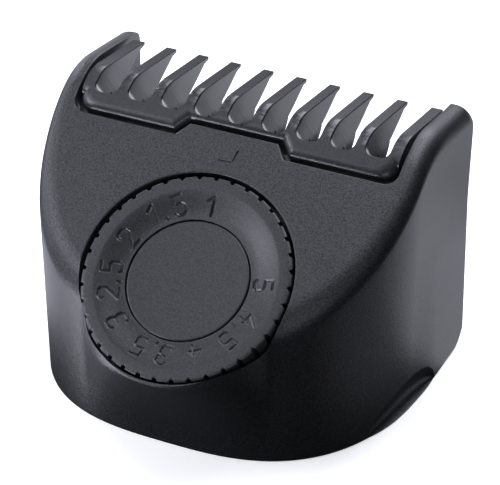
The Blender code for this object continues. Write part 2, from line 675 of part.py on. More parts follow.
def latch_clip(side, material):
    """A sprung strip on the wall with a nub that snaps onto the trimmer's head."""
    outer = OPENING_HALF - GAP
    inner, nub = outer - CLIP_THICKNESS, outer - CLIP_THICKNESS - CLIP_NUB
    low, high = CLIP_ENDS
    nub_low, nub_middle, nub_high = CLIP_NUB_HEIGHTS
    profile = [(outer, high), (inner, high), (inner, nub_high), (nub, nub_middle), (inner, nub_low)]
    outline = [(side * x, z) for x, z in [*profile, (inner, low), (outer, low)]]
    name = "latch_clip_right" if side > 0 else "latch_clip_left"
    frame = STAND @ Matrix.Translation((0, PEG_Y, PEG_Z)) @ Matrix.Rotation(math.pi / 2, 4, "X")
    clip = finish(name, prism("clip", outline, -CLIP_WIDTH / 2, CLIP_WIDTH / 2), frame, material)
    combine(clip, disc("eye", PEG_RADIUS + GAP, -REACH, REACH, 20), clip_frame(side))
    return clip


def axis_empty(name, frame):
    empty = bpy.data.objects.new(name, None)
    bpy.context.collection.objects.link(empty)
    empty.matrix_world = frame
    empty.empty_display_size = DIAL_RADIUS
    return empty


def attach(pieces, empty):
    bpy.context.view_layer.update()
    for piece in pieces:
        place = piece.matrix_world.copy()
        piece.parent = empty
        piece.matrix_parent_inverse = empty.matrix_world.inverted()
        piece.matrix_world = place


def main():
    clear_scene()
    grained = plastic("grained_charcoal", (0.045, 0.046, 0.05), 0.5)
    satin = plastic("satin_charcoal", (0.05, 0.051, 0.056), 0.36)
    wheel = plastic("wheel_charcoal", (0.048, 0.049, 0.053), 0.42)
    inner = plastic("inner_black", (0.02, 0.02, 0.022), 0.5)
    acetal = plastic("natural_acetal", (0.62, 0.61, 0.57), 0.4)
    steel = plastic("bright_steel", (0.6, 0.6, 0.61), 0.28, 1.0)

    housing_shell(grained)
    chassis_plate(inner)
    under_chassis = -CHASSIS_TOP - CHASSIS_THICKNESS
    for i, centre in enumerate(CHASSIS_SCREWS):
        screw(f"chassis_screw_{i + 1}", FACE, centre, under_chassis - GAP, CHASSIS_SCREW_END, steel)
    bush_ends = (-POCKET_DEPTH - FLOOR_THICKNESS, -POCKET_DEPTH - GAP / 3)
    tube("dial_bush", BUSH_INNER, BUSH_OUTER, *bush_ends, DIAL, acetal)
    detent_spring(steel)
    detent_rivet(steel)
    for side in (-1, 1):
        latch_clip(side, acetal)

    turning = [dial_ring(wheel), dial_cap(wheel), detent_wheel(acetal)]
    washer_ends = (under_chassis - WASHER_GAP - GAP, under_chassis - WASHER_GAP)
    turning.append(tube("wave_washer", HUB_RADIUS + GAP, WASHER_RADIUS, *washer_ends, DIAL, steel))
    below_wheel = WHEEL_TOP - WHEEL_THICKNESS - GAP
    turning.append(screw("dial_screw", DIAL, (0, 0), below_wheel, -DIAL_DEPTH - MM, steel))
    attach(turning, axis_empty("dial_axis", DIAL))

    sliding = [comb(satin), comb_slider(acetal), follower_pin(steel)]
    head_top = -SLIDER_TOP - SLIDER_THICKNESS - GAP
    for side, x in zip(("left", "right"), COMB_SCREWS):
        place = (x, COMB_SCREW_V)
        sliding.append(screw(f"comb_screw_{side}", FACE, place, head_top, COMB_SCREW_END, steel))
    attach(sliding, axis_empty("comb_axis", FACE))


main()
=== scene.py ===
"""Looks of the adjustable comb attachment: charcoal mouldings, numbered wheel, comb and running gear.

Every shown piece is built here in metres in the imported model's frame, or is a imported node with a
finer finish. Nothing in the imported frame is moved.
"""

import json
import math

import bmesh
import bpy
from mathutils import Matrix, Vector

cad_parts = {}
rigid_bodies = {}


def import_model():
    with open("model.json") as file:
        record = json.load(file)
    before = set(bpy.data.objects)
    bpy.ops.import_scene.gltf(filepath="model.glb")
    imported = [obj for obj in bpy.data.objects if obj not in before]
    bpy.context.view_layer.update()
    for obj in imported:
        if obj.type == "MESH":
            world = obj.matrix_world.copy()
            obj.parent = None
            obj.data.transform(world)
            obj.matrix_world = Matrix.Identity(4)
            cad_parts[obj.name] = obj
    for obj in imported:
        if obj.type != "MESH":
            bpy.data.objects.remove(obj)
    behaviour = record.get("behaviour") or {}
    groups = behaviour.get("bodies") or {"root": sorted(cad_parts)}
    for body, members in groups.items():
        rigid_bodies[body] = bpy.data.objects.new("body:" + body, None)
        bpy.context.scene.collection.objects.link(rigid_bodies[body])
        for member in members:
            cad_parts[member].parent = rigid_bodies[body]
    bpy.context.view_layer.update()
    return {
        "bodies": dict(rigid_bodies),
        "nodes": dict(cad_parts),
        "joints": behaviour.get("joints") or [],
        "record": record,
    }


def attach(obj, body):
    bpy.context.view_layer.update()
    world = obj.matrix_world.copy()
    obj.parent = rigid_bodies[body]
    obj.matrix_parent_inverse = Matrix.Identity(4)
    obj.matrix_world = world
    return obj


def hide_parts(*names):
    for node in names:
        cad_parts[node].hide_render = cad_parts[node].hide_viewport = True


MM = 0.001

# The housing and the face, as in the CAD source
FACE_TILT = math.radians(38)
RIM_DROP = 19.1 * MM
HALF_WIDTH = 21.0 * MM
FRONT_DEPTH = 17.5 * MM
WIDEST_Y = 13.6 * MM
REAR_Y = 28.7 * MM
PLAN_POWER_X = 2.9
PLAN_POWER_Y = 1.9
DRAFT = 0.022
WALL = 1.6 * MM
OPENING_HALF = 19.15 * MM
HORN_TOP = (20.8 * MM, 12.4 * MM)
HORN_SLOPE = math.radians(8)
HORN_RADIUS = 8 * MM
REAR_TOP_RADIUS = 1.3 * MM
REAR_FOOT_RADIUS = 3 * MM
REAR_EDGE_STEPS = 4
PLAN_STEP = 0.7 * MM  # between rows along the straight part of the walls
PLAN_STEPS = 15
CORNER_STEPS = 14  # rows round the rear foot
BRIDGE_HEIGHT = 9 * MM
CREASE_RADIUS = 2 * MM
GRIP_HALF = 6.9 * MM
GRIP_HEIGHT = 3.9 * MM
GRIP_Y = 13 * MM
GRIP_PROUD = 0.35 * MM
GRIP_SCOOP = 1.1 * MM
GRIP_ZONE = 4.5 * MM  # the walls have finer rows up to here
GRIP_BITE = 0.03 * MM  # the cutter's edge starts this far outside the wall
GRIP_END = 0.99  # of its half length
GRIP_STATIONS = 40
GRIP_LEVELS = 12
GRIP_SKEW = 0.6  # below 1 the hollow is deepest low down
GRIP_LIP = 0.95  # of how far it stands proud
GRIP_LIP_FALL = 2.5
GRIP_SWELL_FALL = 1.5
FLARE_START = 11 * MM
FLARE_RUN = 9 * MM
FOOT_FLARE = 0.7 * MM
EDGE = 0.18 * MM  # the small radius on moulded edges
NODE_EDGE = 0.08 * MM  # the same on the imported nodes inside
WEAR_REACH = 0.25 * MM  # how far from an outer edge the plastic is rubbed
WEAR_POLISH = 0.08  # off the roughness there
NOSE_Y = 5.3 * MM  # the front swells round the foot of the wheel in a nose of this plan
NOSE_DEPTH = 14.8 * MM
NOSE_HALF = 12.15 * MM
NOSE_POWER = 2.2
NOSE_FOOT = -7.6 * MM  # below this height the nose falls back to the rim
NOSE_FALL = 1.6
NOSE_CREASE = 0.25 * MM
NOSE_SOFT = 0.35 * MM  # how softly the nose grows out of the front
NOSE_SWELL = 1.5 * MM
WALL_ROWS = 14  # up the grips' zone, and again from there to the crease
CREASE_ROWS = 10
HORN_STATIONS = 60
HORN_FADE = 10  # stations in which a horn's rounded edge grows to full size at either end
HORN_LEAST = 0.05  # of full size, at the very end
ROUND_STEPS = 4
STEP_ROUND = 0.3 * MM  # at the steps in the opening's lower edge
BUSH_HOLE = 4.0 * MM
TICK = ((-0.52 * MM, 13.55 * MM), (0.97 * MM, 13.67 * MM), (1.21 * MM, 15.0 * MM))
TICK_WIDTH = 0.26 * MM
TICK_DEPTH = 0.13 * MM
GROOVE_RISE = 0.2 * MM  # a groove's cutter reaches this far above the surface
GROOVE_SPLAY = 0.03 * MM
GROOVE_FLOOR = 0.25  # of the groove's width
GROOVE_STEP = 0.35 * MM

# The wheel
DIAL_X = 0.7 * MM
DIAL_RADIUS = 11.6 * MM
DIAL_DEPTH = 2.75 * MM
RIM_BAND = 1.4 * MM
RIM_EDGE = 0.22 * MM
DISH_DEPTH = 0.75 * MM
CAP_RADIUS = 6.75 * MM
CAP_THICKNESS = 0.75 * MM
CAP_DISH = 0.15 * MM
CAP_GAP = 0.15 * MM
CAP_LIP = 0.06 * MM
CAP_EDGE = 0.16 * MM
NOTCHES = 38
NOTCH_DEPTH = 0.32 * MM
NOTCH_PHASE = math.radians(-1)
NOTCH_HALF = 0.14  # of the way from one notch to the next
NOTCH_STEPS = 26  # points round the rim for each notch
DISH_STEPS = 56
HUB_RADIUS = 2.6 * MM
HUB_END = 7.6 * MM
POCKET_RADIUS = 11.92 * MM
POCKET_SHIFT = (-0.13 * MM, 0.1 * MM)
POCKET_DEPTH = 3.0 * MM
FLOOR_THICKNESS = 1.2 * MM
TRAVEL = 4 * MM
CAM_START = 6.4 * MM
PIN_RADIUS = 0.6 * MM

# The comb
TEETH = 10
PITCH = 4 * MM
RIDGE = 1.25 * MM
OPENING_LOW = 15.3 * MM
OPENING_HIGH = 16.9 * MM
STEP_LOW_X = 6.43 * MM
STEP_HIGH_X = 5.17 * MM
CORNER_RADIUS = 1.6 * MM
COMB_CLEARANCE = 0.45 * MM
SLOT_ROOT = 18.0 * MM
SLOT_RADIUS = 0.95 * MM
RIDGE_EDGE = 0.2 * MM
FLANGE_DROP = 0.8 * MM
FLANGE_ROUND = 1.15 * MM
COMB_BASE = 4.2 * MM
COMB_PROUD = 0.12 * MM
RIDGE_DROP = 0.42 * MM
RIDGE_RADIUS = 4.2 * MM
TIP_Y = 26.5 * MM
SHOULDER_STEPS = 14
ROOT_STEPS = 9
SLOT_STATIONS = 26
FLANGE_STEPS = 10
SLOT_LEVELS = 6
RIDGE_SWEEP = math.radians(76)  # how far round the ridges' edges are rounded
FLANGE_SWEEP = math.radians(84)
WEB_INSET = 0.02 * MM
WEB_LIP = 0.12 * MM
WEB_CHAMFER = 0.1 * MM
# The teeth's lower edge as (y, z) in mm, tip to root
TOOTH_UNDERSIDE = ((25.5, 10.75), (24.4, 10.18), (22.9, 9.42), (22.1, 9.05), (21.5, 8.82), (20.7, 8.7),
                   (19.6, 8.75), (18.6, 8.7))
# The foot along a tooth's lower edge as (y, top, bottom, flare) in mm, root to tip
TOOTH_FOOT = ((18.2, 8.95, 7.6, 0.6), (18.9, 9.0, 7.8, 0.56), (19.6, 8.95, 7.95, 0.45),
              (20.3, 8.85, 8.05, 0.3), (21.0, 8.82, 8.25, 0.15), (21.6, 8.95, 8.6, 0.03))

CHASSIS_TOP = 6.0 * MM
BOSS_RADIUS = 2.1 * MM
SCREW_CLEAR = 1.05 * MM
CHASSIS_SCREWS = (
    (-13.2 * MM, 9.5 * MM),
    (13.2 * MM, 9.5 * MM),
    (-10.8 * MM, -2.2 * MM),
    (10.8 * MM, -2.2 * MM),
)
PEG_RADIUS = 1.2 * MM
PEG_END = 17.3 * MM
PEG_Y = 18 * MM
PEG_Z = -7.4 * MM
GAP = 0.3 * MM

SKY = 40 * MM  # cutters reach this far past the part
SHARP_ANGLE = math.radians(32)

FRONT_Y = NOSE_Y - NOSE_DEPTH
ORIGIN = Vector((0, -(FRONT_Y + REAR_Y) / 2, RIM_DROP))
FACE = Matrix.Translation(ORIGIN) @ Matrix.Rotation(FACE_TILT, 4, "X")
DIAL = FACE @ Matrix.Translation((DIAL_X, 0, 0))
POCKET = DIAL @ Matrix.Translation((*POCKET_SHIFT, 0))
STAND = Matrix.Translation(ORIGIN)
SIDE = STAND @ Matrix(((0, 0, 1, 0), (1, 0, 0, 0), (0, 1, 0, 0), (0, 0, 0, 1)))


# ---------------------------------------------------------------- shapes


def mesh_of(name, points, faces):
    shape = bmesh.new()
    corners = [shape.verts.new(point) for point in points]
    for face in faces:
        shape.faces.new([corners[i] for i in face])
    bmesh.ops.recalc_face_normals(shape, faces=shape.faces)
    mesh = bpy.data.meshes.new(name)
    shape.to_mesh(mesh)
    shape.free()
    return mesh


def put(name, mesh, frame=Matrix.Identity(4)):
    """A new object whose mesh is written in the model's own frame."""
    mesh.transform(frame)
    obj = bpy.data.objects.new(name, mesh)
    bpy.context.scene.collection.objects.link(obj)
    return obj


def loft(name, rings):
    """A closed solid through outlines with as many points each."""
    count = len(rings[0])
    points = [p for ring in rings for p in ring]
    faces = [tuple(range(count))[::-1], tuple(range(len(points) - count, len(points)))]
    for k in range(len(rings) - 1):
        for i in range(count):
            j = (i + 1) % count
            faces.append((k * count + i, k * count + j, (k + 1) * count + j, (k + 1) * count + i))
    return mesh_of(name, points, faces)


def prism(name, outline, bottom, top):
    return loft(name, [[(*p, h) for p in outline] for h in (bottom, top)])


def revolve(name, profile, steps, radius_at=None):
    """Turns a closed profile of (radius, height) about Z."""
    points, rings = [], []
    for radius, height in profile:
        ring = []
        for i in range(steps if radius else 1):
            angle = math.tau * i / steps
            r = radius_at(radius, angle) if radius_at else radius
            ring.append(len(points))
            points.append((r * math.cos(angle), r * math.sin(angle), height))
        rings.append(ring)
    faces = []
    for a, b in zip(rings, rings[1:] + rings[:1]):
        for i in range(steps):
            j = (i + 1) % steps
            if len(a) > 1 and len(b) > 1:
                faces.append((a[i], a[j], b[j], b[i]))
            elif len(a) > 1:
                faces.append((a[i], a[j], b[0]))
            elif len(b) > 1:
                faces.append((a[0], b[j], b[i]))
    return mesh_of(name, points, faces)


def circle(radius, steps=48, centre=(0, 0)):
    angles = [math.tau * i / steps for i in range(steps)]
    return [(centre[0] + radius * math.cos(a), centre[1] + radius * math.sin(a)) for a in angles]


def disc(name, radius, bottom, top, steps=48, centre=(0, 0)):
    return prism(name, circle(radius, steps, centre), bottom, top)


def rectangle(x0, x1, y0, y1):
    return [(x0, y0), (x1, y0), (x1, y1), (x0, y1)]


def fillet(before, corner, after, radius, steps=10):
    """An arc that rounds the corner between two straight runs."""
    corner = Vector(corner)
    to_before = (Vector(before) - corner).normalized()
    to_after = (Vector(after) - corner).normalized()
    half = to_before.angle(to_after) / 2
    centre = corner + (to_before + to_after).normalized() * (radius / math.sin(half))
    start = corner + to_before * (radius / math.tan(half)) - centre
    end = corner + to_after * (radius / math.tan(half)) - centre
    turn = start.angle_signed(end)
    return [centre + Matrix.Rotation(-turn * i / steps, 2) @ start for i in range(steps + 1)]


def carve(obj, tools):
    """Cuts or joins helper objects one after another, keeps the result as the mesh, and removes them."""
    for tool, operation in tools:
        modifier = obj.modifiers.new("carve", "BOOLEAN")
        modifier.operation = operation
        modifier.solver = "EXACT"
        modifier.object = tool
    graph = bpy.context.evaluated_depsgraph_get()
    made = bpy.data.meshes.new_from_object(obj.evaluated_get(graph))
    obj.modifiers.clear()
    obj.data = made
    for tool, _ in tools:
        bpy.data.objects.remove(tool)
    return obj


def cut(tool):
    return tool, "DIFFERENCE"


def join(tool):
    return tool, "UNION"


def settle(obj, material, body, replaces):
    """Shading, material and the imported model's facts for a piece built here."""
    obj.data.shade_smooth()
    obj.data.set_sharp_from_angle(angle=SHARP_ANGLE)
    normals = obj.modifiers.new("even_shading", "WEIGHTED_NORMAL")
    normals.keep_sharp = True
    normals.weight = 60
    obj.data.materials.clear()
    obj.data.materials.append(material)
    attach(obj, body)
    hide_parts(*replaces)
    return obj


def flatten(obj, normal):
    """Large faces that lie along this direction are shaded flat, so nothing runs in from their edges."""
    normal = Vector(normal)
    for face in obj.data.polygons:
        if face.normal.dot(normal) > 0.99999:
            face.use_smooth = False


def soften(obj, width):
    """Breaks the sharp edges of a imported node."""
    bevel = obj.modifiers.new("soft_edges", "BEVEL")
    bevel.width = width
    bevel.segments = 2
    bevel.limit_method = "ANGLE"
    bevel.angle_limit = math.radians(40)


def groove(name, line, width, depth):
    """A cutter for an engraved stroke along a line of (x, y), sunk into the surface at height 0."""
    half = width / 2
    floor = GROOVE_FLOOR * half
    section = [(-half - GROOVE_SPLAY, GROOVE_RISE), (-half, 0.0), (-floor, -depth), (floor, -depth),
               (half, 0.0), (half + GROOVE_SPLAY, GROOVE_RISE)]
    shape = bmesh.new()
    points = [Vector(p) for p in line]
    fine = [points[0]]
    for a, b in zip(points, points[1:]):
        count = max(1, round((b - a).length / GROOVE_STEP))
        fine += [a.lerp(b, (i + 1) / count) for i in range(count)]
    rings = []
    for i, p in enumerate(fine):
        before = (p - fine[i - 1]).normalized() if i else None
        after = (fine[i + 1] - p).normalized() if i + 1 < len(fine) else None
        before, after = before or after, after or before
        along = (before + after).normalized()
        across = Vector((along.y, -along.x)) / max(0.5, along.dot(before))
        end = along * half * (0.6 if i + 1 == len(fine) else -0.6 if i == 0 else 0)
        ring = []
        for offset, h in section:
            q = p + across * offset + end
            ring.append(shape.verts.new((q.x, q.y, h)))
        rings.append(ring)
    for a, b in zip(rings, rings[1:]):
        for i in range(len(section)):
            j = (i + 1) % len(section)
            shape.faces.new((a[i], a[j], b[j], b[i]))
    shape.faces.new(rings[0])
    shape.faces.new(rings[-1])
    bmesh.ops.recalc_face_normals(shape, faces=shape.faces)
    mesh = bpy.data.meshes.new(name)
    shape.to_mesh(mesh)
    shape.free()
    return mesh


# ---------------------------------------------------------------- housing


def plan_points(steps):
    """Plan points (x, y, normal x, normal y, inset) of the right half at the rim, front to rear."""
    points = []
    for i in range(steps + 1):
        turn = math.pi / 2 * (1 - i / steps)
        c, s = max(math.cos(turn), 0), math.sin(turn)
        x, y = c ** (2 / PLAN_POWER_X), s ** (2 / PLAN_POWER_Y)
        nx = 0 if i == 0 else x ** (PLAN_POWER_X - 1) / HALF_WIDTH
        ny = -(y ** (PLAN_POWER_Y - 1)) / FRONT_DEPTH
        size = math.hypot(nx, ny)
        points.append((HALF_WIDTH * x, WIDEST_Y - FRONT_DEPTH * y, nx / size, ny / size, 0))
    ys = [WIDEST_Y + PLAN_STEP * i for i in range(1, PLAN_STEPS + 1)]
    turns = [math.pi / 2 * i / CORNER_STEPS for i in range(CORNER_STEPS)]
    ys += [REAR_Y - REAR_FOOT_RADIUS * (1 - math.sin(turn)) for turn in turns]
    points += [(HALF_WIDTH, y, 1, 0, 0) for y in ys if y < REAR_Y - 2 * EDGE]
    for i in range(REAR_EDGE_STEPS + 1):
        turn = math.pi / 2 * i / REAR_EDGE_STEPS
        y = REAR_Y - 2 * EDGE * (1 - math.sin(turn))
        points.append((HALF_WIDTH, y, 1, 0, 2 * EDGE * (1 - math.cos(turn))))
    return points


def horn_line(y):
    return HORN_TOP[1] - math.tan(HORN_SLOPE) * (y - HORN_TOP[0])


def top_height(y):
    """Height of the face, the rounded shoulder, the horns' top line and their round rear end."""
    y = min(y, REAR_Y)
    slope, fall = math.tan(FACE_TILT), math.tan(HORN_SLOPE)
    ridge = horn_line(0) / (slope + fall)
    reach = HORN_RADIUS * math.tan((FACE_TILT + HORN_SLOPE) / 2)
    first, last = ridge - reach * math.cos(FACE_TILT), ridge + reach * math.cos(HORN_SLOPE)
    if y <= first:
        return y * slope
    if y < last:
        centre_y = first + HORN_RADIUS * math.sin(FACE_TILT)
        centre_z = first * slope - HORN_RADIUS * math.cos(FACE_TILT)
        return centre_z + math.sqrt(HORN_RADIUS ** 2 - (y - centre_y) ** 2)
    into = max(0, y - (REAR_Y - REAR_TOP_RADIUS)) / REAR_TOP_RADIUS
    return horn_line(y) - REAR_TOP_RADIUS * (1 - math.sqrt(max(0, 1 - into * into)))


def foot_height(y):
    into = max(0, y - (REAR_Y - REAR_FOOT_RADIUS)) / REAR_FOOT_RADIUS
    return REAR_FOOT_RADIUS * (1 - math.sqrt(max(0, 1 - into * into))) - RIM_DROP


def plan_half(y):
    """Half of the plan's width at this distance back."""
    if y >= WIDEST_Y:
        return HALF_WIDTH
    ahead = min((WIDEST_Y - y) / FRONT_DEPTH, 1)
    return HALF_WIDTH * (1 - ahead ** PLAN_POWER_Y) ** (1 / PLAN_POWER_X)


def flare(y, height):
    """The side walls stand a little wider at their rear foot."""
    back = min(max((y - FLARE_START) / FLARE_RUN, 0), 1)
    return FOOT_FLARE * back * back * (3 - 2 * back) * max(0, 1 - (height + RIM_DROP) / RIM_DROP)


def grip(y, height):
    """How far the wall swells out to the lip of a finger grip, by height above the foot."""
    u = (y - GRIP_Y) / GRIP_HALF
    if abs(u) >= 1:
        return 0
    w = height / (GRIP_HEIGHT * math.sqrt(1 - u * u))
    return GRIP_PROUD * (1 - u * u) * (1 - w) ** GRIP_SWELL_FALL if w < 1 else 0


def grip_cutter(side):
    """The hollow of a finger grip, from its round upper edge down to the lip at the rim."""
    rings = []
    for i in range(GRIP_STATIONS + 1):
        u = -GRIP_END + 2 * GRIP_END * i / GRIP_STATIONS
        y, edge = GRIP_Y + GRIP_HALF * u, math.sqrt(1 - u * u)
        ring = []
        for k in range(GRIP_LEVELS + 1):
            w = k / GRIP_LEVELS
            up = GRIP_HEIGHT * edge * w
            wall = plan_half(y) + DRAFT * up + flare(y, up - RIM_DROP)
            deep = GRIP_SCOOP * edge * math.sin(math.pi * w ** GRIP_SKEW) - GRIP_BITE
            lip = GRIP_LIP * GRIP_PROUD * edge * edge * (1 - w) ** GRIP_LIP_FALL
            ring.append((side * (wall - deep + lip), y, up - RIM_DROP))
        ring.insert(0, (ring[0][0], y, -RIM_DROP - 0.5 * MM))
        out = side * (HALF_WIDTH + 5 * MM)
        ring += [(out, y, ring[-1][2]), (out, y, -RIM_DROP - 0.5 * MM)]
        rings.append(ring)
    return loft("grip", rings)


def nose(x, y, height):
    """How far the front wall at this point stands out to the nose under the wheel."""
    across = abs((x - DIAL_X) / NOSE_HALF)
    if across >= 1 or y > WIDEST_Y:
        return 0
    reach = y - NOSE_Y + NOSE_DEPTH * (1 - across ** NOSE_POWER) ** (1 / NOSE_POWER)
    out = reach
    if reach < 10 * NOSE_SOFT:
        out = NOSE_SOFT * math.log1p(math.exp(min(reach / NOSE_SOFT, 30)))
    down = min(max((NOSE_FOOT - height) / (RIM_DROP + NOSE_FOOT), 0), 1)
    return out * (1 - down) ** NOSE_FALL


def housing_row(side, x, y, nx, ny, shrink):
    """Points up the wall at one place of the plan, over the crease and onto the top."""
    foot = foot_height(y)

    def place(inset, height):
        out = DRAFT * (height + RIM_DROP) + flare(y, height) - inset - shrink
        px, py = (side * (x + nx * out) if x else 0), y + ny * out
        return px, py - nose(px, py, height)

    swell = min(nose(side * x, y, 0) / NOSE_SWELL, 1)
    crease = CREASE_RADIUS + (NOSE_CREASE - CREASE_RADIUS) * swell * swell * (3 - 2 * swell)
    edge_y = place(0, top_height(y))[1]
    top = top_height(place(0, top_height(edge_y))[1]) - crease
    row = []
    for turn in (0, 30, 60, 90):
        level = EDGE * (1 - math.cos(math.radians(turn)))
        inset = EDGE * (1 - math.sin(math.radians(turn)))
        row.append((*place(inset - grip(y, foot + level + RIM_DROP), foot + level), foot + level))
    for i in range(1, WALL_ROWS + 1):
        height = foot + EDGE + (GRIP_ZONE - EDGE) * i / WALL_ROWS
        row.append((*place(-grip(y, height + RIM_DROP), height), height))
    for i in range(1, WALL_ROWS + 1):
        height = foot + GRIP_ZONE + (top - foot - GRIP_ZONE) * i / WALL_ROWS
        row.append((*place(0, height), height))
    for i in range(1, CREASE_ROWS + 1):
        angle = math.pi / 2 * i / CREASE_ROWS
        px, py = place(crease * (1 - math.cos(angle)), top)
        row.append((px, py, top_height(py) - crease * (1 - math.sin(angle))))
    return row


def housing_blank():
    """The housing as a full solid: walls up the plan, a rounded crease, and the top."""
    plan = plan_points(90)
    return ladder("housing", [housing_row(1, *p) for p in plan], [housing_row(-1, *p) for p in plan])


def ladder(name, right_rows, left_rows):
    """A closed solid from rows that each run up its right or left side, front to rear."""
    points, right, left = [], [], []
    for i, (a, b) in enumerate(zip(right_rows, left_rows)):
        right.append([len(points) + k for k in range(len(a))])
        points += a
        if i == 0:
            left.append(right[0])
            continue
        left.append([len(points) + k for k in range(len(b))])
        points += b
    faces = []
    for i in range(len(right) - 1):
        for side in (right, left):
            for a, b, c, d in zip(side[i], side[i + 1], side[i + 1][1:], side[i][1:]):
                faces.append((a, b, c, d))
        for k in (0, -1):
            corners = [right[i][k], right[i + 1][k], left[i + 1][k], left[i][k]]
            faces.append(tuple(dict.fromkeys(corners)))
    for a, b, c, d in zip(right[-1], left[-1], left[-1][1:], right[-1][1:]):
        faces.append((a, b, c, d))
    return mesh_of(name, points, faces)


def inner_plan():
    """The space between the walls, straight up, from the rim to the sky."""
    wide = OPENING_HALF / HALF_WIDTH
    deep = 1 - WALL / FRONT_DEPTH
    front = [point[:2] for point in plan_points(48) if point[1] <= WIDEST_Y]
    half = [(x * wide, WIDEST_Y + (y - WIDEST_Y) * deep) for x, y in front]
    half.append((half[-1][0], REAR_Y + 5 * MM))
    outline = half + [(-x, y) for x, y in reversed(half[1:])]
    return prism("inside", outline, -RIM_DROP - 5 * MM, SKY)


def opening_edge(clear):
    """Lower edge of the comb's opening as (x, v), right to left, moved into the opening by clear."""
    half, low, high = OPENING_HALF - clear, OPENING_LOW + clear, OPENING_HIGH + clear
    lean = (STEP_LOW_X - STEP_HIGH_X) / (OPENING_HIGH - OPENING_LOW)
    shift = clear * (math.hypot(1, lean) - lean)
    right = fillet((half, low + 2 * CORNER_RADIUS), (half, low), (0, low), CORNER_RADIUS)
    right += fillet((half, low), (STEP_LOW_X + shift, low), (STEP_HIGH_X + shift, high), STEP_ROUND, 3)
    right += fillet((STEP_LOW_X + shift, low), (STEP_HIGH_X + shift, high), (0, high), STEP_ROUND, 3)
    return [tuple(p) for p in right] + [(-p[0], p[1]) for p in reversed(right)]


def below_opening(clear):
    """All of the face below the comb's opening, out past the side walls."""
    edge = opening_edge(clear)
    return [(-2 * HALF_WIDTH, edge[0][1]), (-2 * HALF_WIDTH, -SKY),
            (2 * HALF_WIDTH, -SKY), (2 * HALF_WIDTH, edge[0][1]), *edge]


def round_in(radius):
    """(set back, depth) pairs down a rounded edge, from the surface into the wall."""
    turns = [math.pi / 2 * i / ROUND_STEPS for i in range(ROUND_STEPS + 1)]
    return [(radius * (1 - math.sin(t)), -radius * (1 - math.cos(t))) for t in turns]


def face_plate():
    """The face's plate with the opening's edge rounded over."""
    levels = [(0, -WALL)] + [(back, depth) for back, depth in reversed(round_in(EDGE))] + [(EDGE, SKY)]
    return loft("plate", [[(*p, depth) for p in below_opening(-back)] for back, depth in levels])


def horn_edge(side):
    """Rounds the inner top edge of a side wall, less and less towards both ends."""
    rings = []
    start = (OPENING_LOW + CORNER_RADIUS) * math.cos(FACE_TILT)
    for i in range(HORN_STATIONS + 1):
        y = start + (REAR_Y - REAR_TOP_RADIUS - start) * i / HORN_STATIONS
        step = 0.05 * MM
        size = EDGE * min(1, HORN_LEAST + i / HORN_FADE, HORN_LEAST + (HORN_STATIONS - i) / HORN_FADE)
        slope = (top_height(y + step) - top_height(y - step)) / (2 * step)
        stretch = min(1.6, math.hypot(1, slope))
        top = top_height(y)
        ring = [(OPENING_HALF - MM, top + MM), (OPENING_HALF + size, top + MM)]
        ring += [(OPENING_HALF + back, top + depth * stretch) for back, depth in round_in(size)]
        ring += [(OPENING_HALF - MM, top - size * stretch)]
        rings.append([(side * x, y, z) for x, z in ring])
    return loft("horn_edge", rings)


def clip_frame(side):
    turn = Matrix.Rotation(-side * math.pi / 2, 4, "Y")
    return STAND @ Matrix.Translation((side * OPENING_HALF, PEG_Y, PEG_Z)) @ turn


def housing():
    cavity = put("inside", inner_plan(), STAND)
    bridge = prism("bridge", rectangle(-2 * HALF_WIDTH, 2 * HALF_WIDTH, REAR_Y - WALL, REAR_Y + 10 * MM),
                   -RIM_DROP - 10 * MM, BRIDGE_HEIGHT - RIM_DROP)
    floor = disc("floor", POCKET_RADIUS + WALL, -POCKET_DEPTH - FLOOR_THICKNESS, -WALL / 2, 96)
    tools = [cut(put("bridge", bridge, STAND)), cut(put("plate", face_plate(), FACE)),
             cut(put("floor", floor, DIAL))]
    for centre in CHASSIS_SCREWS:
        boss = disc("boss", BOSS_RADIUS, GAP - CHASSIS_TOP, -WALL / 2, 32, centre)
        tools.append(cut(put("boss", boss, FACE)))
    for side in (-1, 1):
        peg = disc("peg", PEG_RADIUS, -MM, OPENING_HALF - PEG_END, 32)
        tools.append(cut(put("peg", peg, clip_frame(side))))
    carve(cavity, tools)

    wall = [(0, -POCKET_DEPTH), (POCKET_RADIUS, -POCKET_DEPTH)]
    wall += [(POCKET_RADIUS + back, depth) for back, depth in reversed(round_in(EDGE))]
    wall += [(POCKET_RADIUS + EDGE, SKY), (0, SKY)]
    reach = PIN_RADIUS + GAP
    slot = rectangle(-reach, reach, CAM_START - reach, CAM_START + TRAVEL + reach)
    tools = [cut(cavity), cut(put("pocket", revolve("pocket", wall, 240), POCKET)),
             cut(put("bush_hole", disc("hole", BUSH_HOLE, -SKY / 2, 0, 48), DIAL)),
             cut(put("pin_slot", prism("slot", slot, -POCKET_DEPTH - 2 * FLOOR_THICKNESS, -WALL), DIAL)),
             cut(put("tick", groove("tick", TICK, TICK_WIDTH, TICK_DEPTH), FACE))]
    tools += [cut(put("horn_edge", horn_edge(side), STAND)) for side in (-1, 1)]
    tools += [cut(put("grip", grip_cutter(side), STAND)) for side in (-1, 1)]
    for centre in CHASSIS_SCREWS:
        hole = disc("hole", SCREW_CLEAR, -CHASSIS_TOP, -WALL - MM, 24, centre)
        tools.append(cut(put("hole", hole, FACE)))
    return carve(put("housing_moulding", housing_blank(), STAND), tools)


# ---------------------------------------------------------------- wheel


def scallop(radius, angle):
    """The wheel's rim: a small round notch at each division."""
    if radius < DIAL_RADIUS - NOTCH_DEPTH - 0.1 * MM:
        return radius
    phase = abs(((angle - NOTCH_PHASE) * NOTCHES / math.tau + 0.5) % 1 - 0.5) / NOTCH_HALF
    return radius - (NOTCH_DEPTH * math.sqrt(1 - phase ** 2) if phase < 1 else 0)


